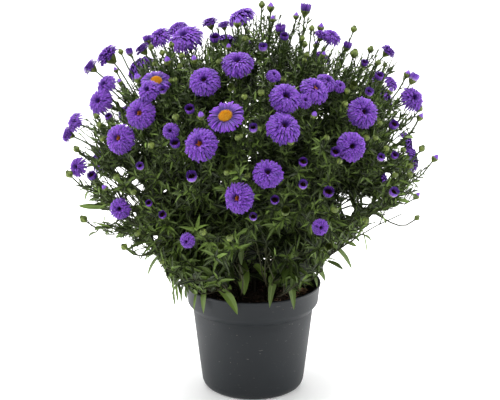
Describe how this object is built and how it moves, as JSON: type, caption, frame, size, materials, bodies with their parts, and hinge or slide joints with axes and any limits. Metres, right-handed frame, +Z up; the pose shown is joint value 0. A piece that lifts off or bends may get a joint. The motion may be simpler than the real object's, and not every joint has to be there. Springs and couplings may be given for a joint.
{
  "type": "potted aster",
  "caption": "Rounded bushy aster plant with layered daisy-like flower heads, buds and lance-shaped leaves, growing in a round moulded pot filled with soil.",
  "frame": {"origin": "middle of the pot's flat base, on the surface it stands on", "axes": "+Z up along the pot's axis, -Y towards the front of the plant"},
  "size_m": [0.3766, 0.3603, 0.4036],
  "materials": {
    "pot": "matt moulded",
    "soil": "crumbly",
    "foliage": "soft matt",
    "petals": "soft matt",
    "disc": "grainy matt"
  },
  "bodies": {
    "root": {"bloom_01": "petals", "bloom_02": "petals", "bloom_03": "petals", "bloom_04": "petals", "bloom_05": "petals", "bloom_06": "petals", "bloom_07": "petals", "bloom_08": "petals", "bloom_09": "petals", "bloom_10": "petals", "bloom_11": "petals", "bloom_12": "petals", "bloom_13": "petals", "bloom_14": "petals", "bloom_15": "petals", "bloom_16": "petals", "bloom_17": "petals", "bloom_18": "petals", "bloom_19": "petals", "bloom_20": "petals", "bloom_21": "petals", "bloom_22": "petals", "bloom_23": "petals", "bloom_24": "petals", "bloom_25": "petals", "bloom_26": "petals", "bloom_27": "petals", "bloom_28": "petals", "bloom_29": "petals", "bloom_30": "petals", "bloom_31": "petals", "bloom_32": "petals", "bloom_33": "petals", "bloom_34": "petals", "bloom_35": "petals", "bloom_36": "petals", "bloom_37": "petals", "bloom_38": "petals", "bloom_39": "petals", "bloom_40": "petals", "bloom_41": "petals", "bloom_42": "petals", "bloom_43": "petals", "bloom_44": "petals", "bloom_45": "petals", "bloom_46": "petals", "bloom_47": "petals", "bloom_48": "petals", "flower_disc_1": "disc", "flower_disc_2": "disc", "leafy_stem_1": "foliage", "leafy_stem_2": "foliage", "leafy_stem_3": "foliage", "leafy_stem_4": "foliage", "leafy_stem_5": "foliage", "leafy_stem_6": "foliage", "leafy_stem_7": "foliage", "leafy_stem_8": "foliage", "pot": "pot", "soil": "soil"}
  },
  "joints": []
}
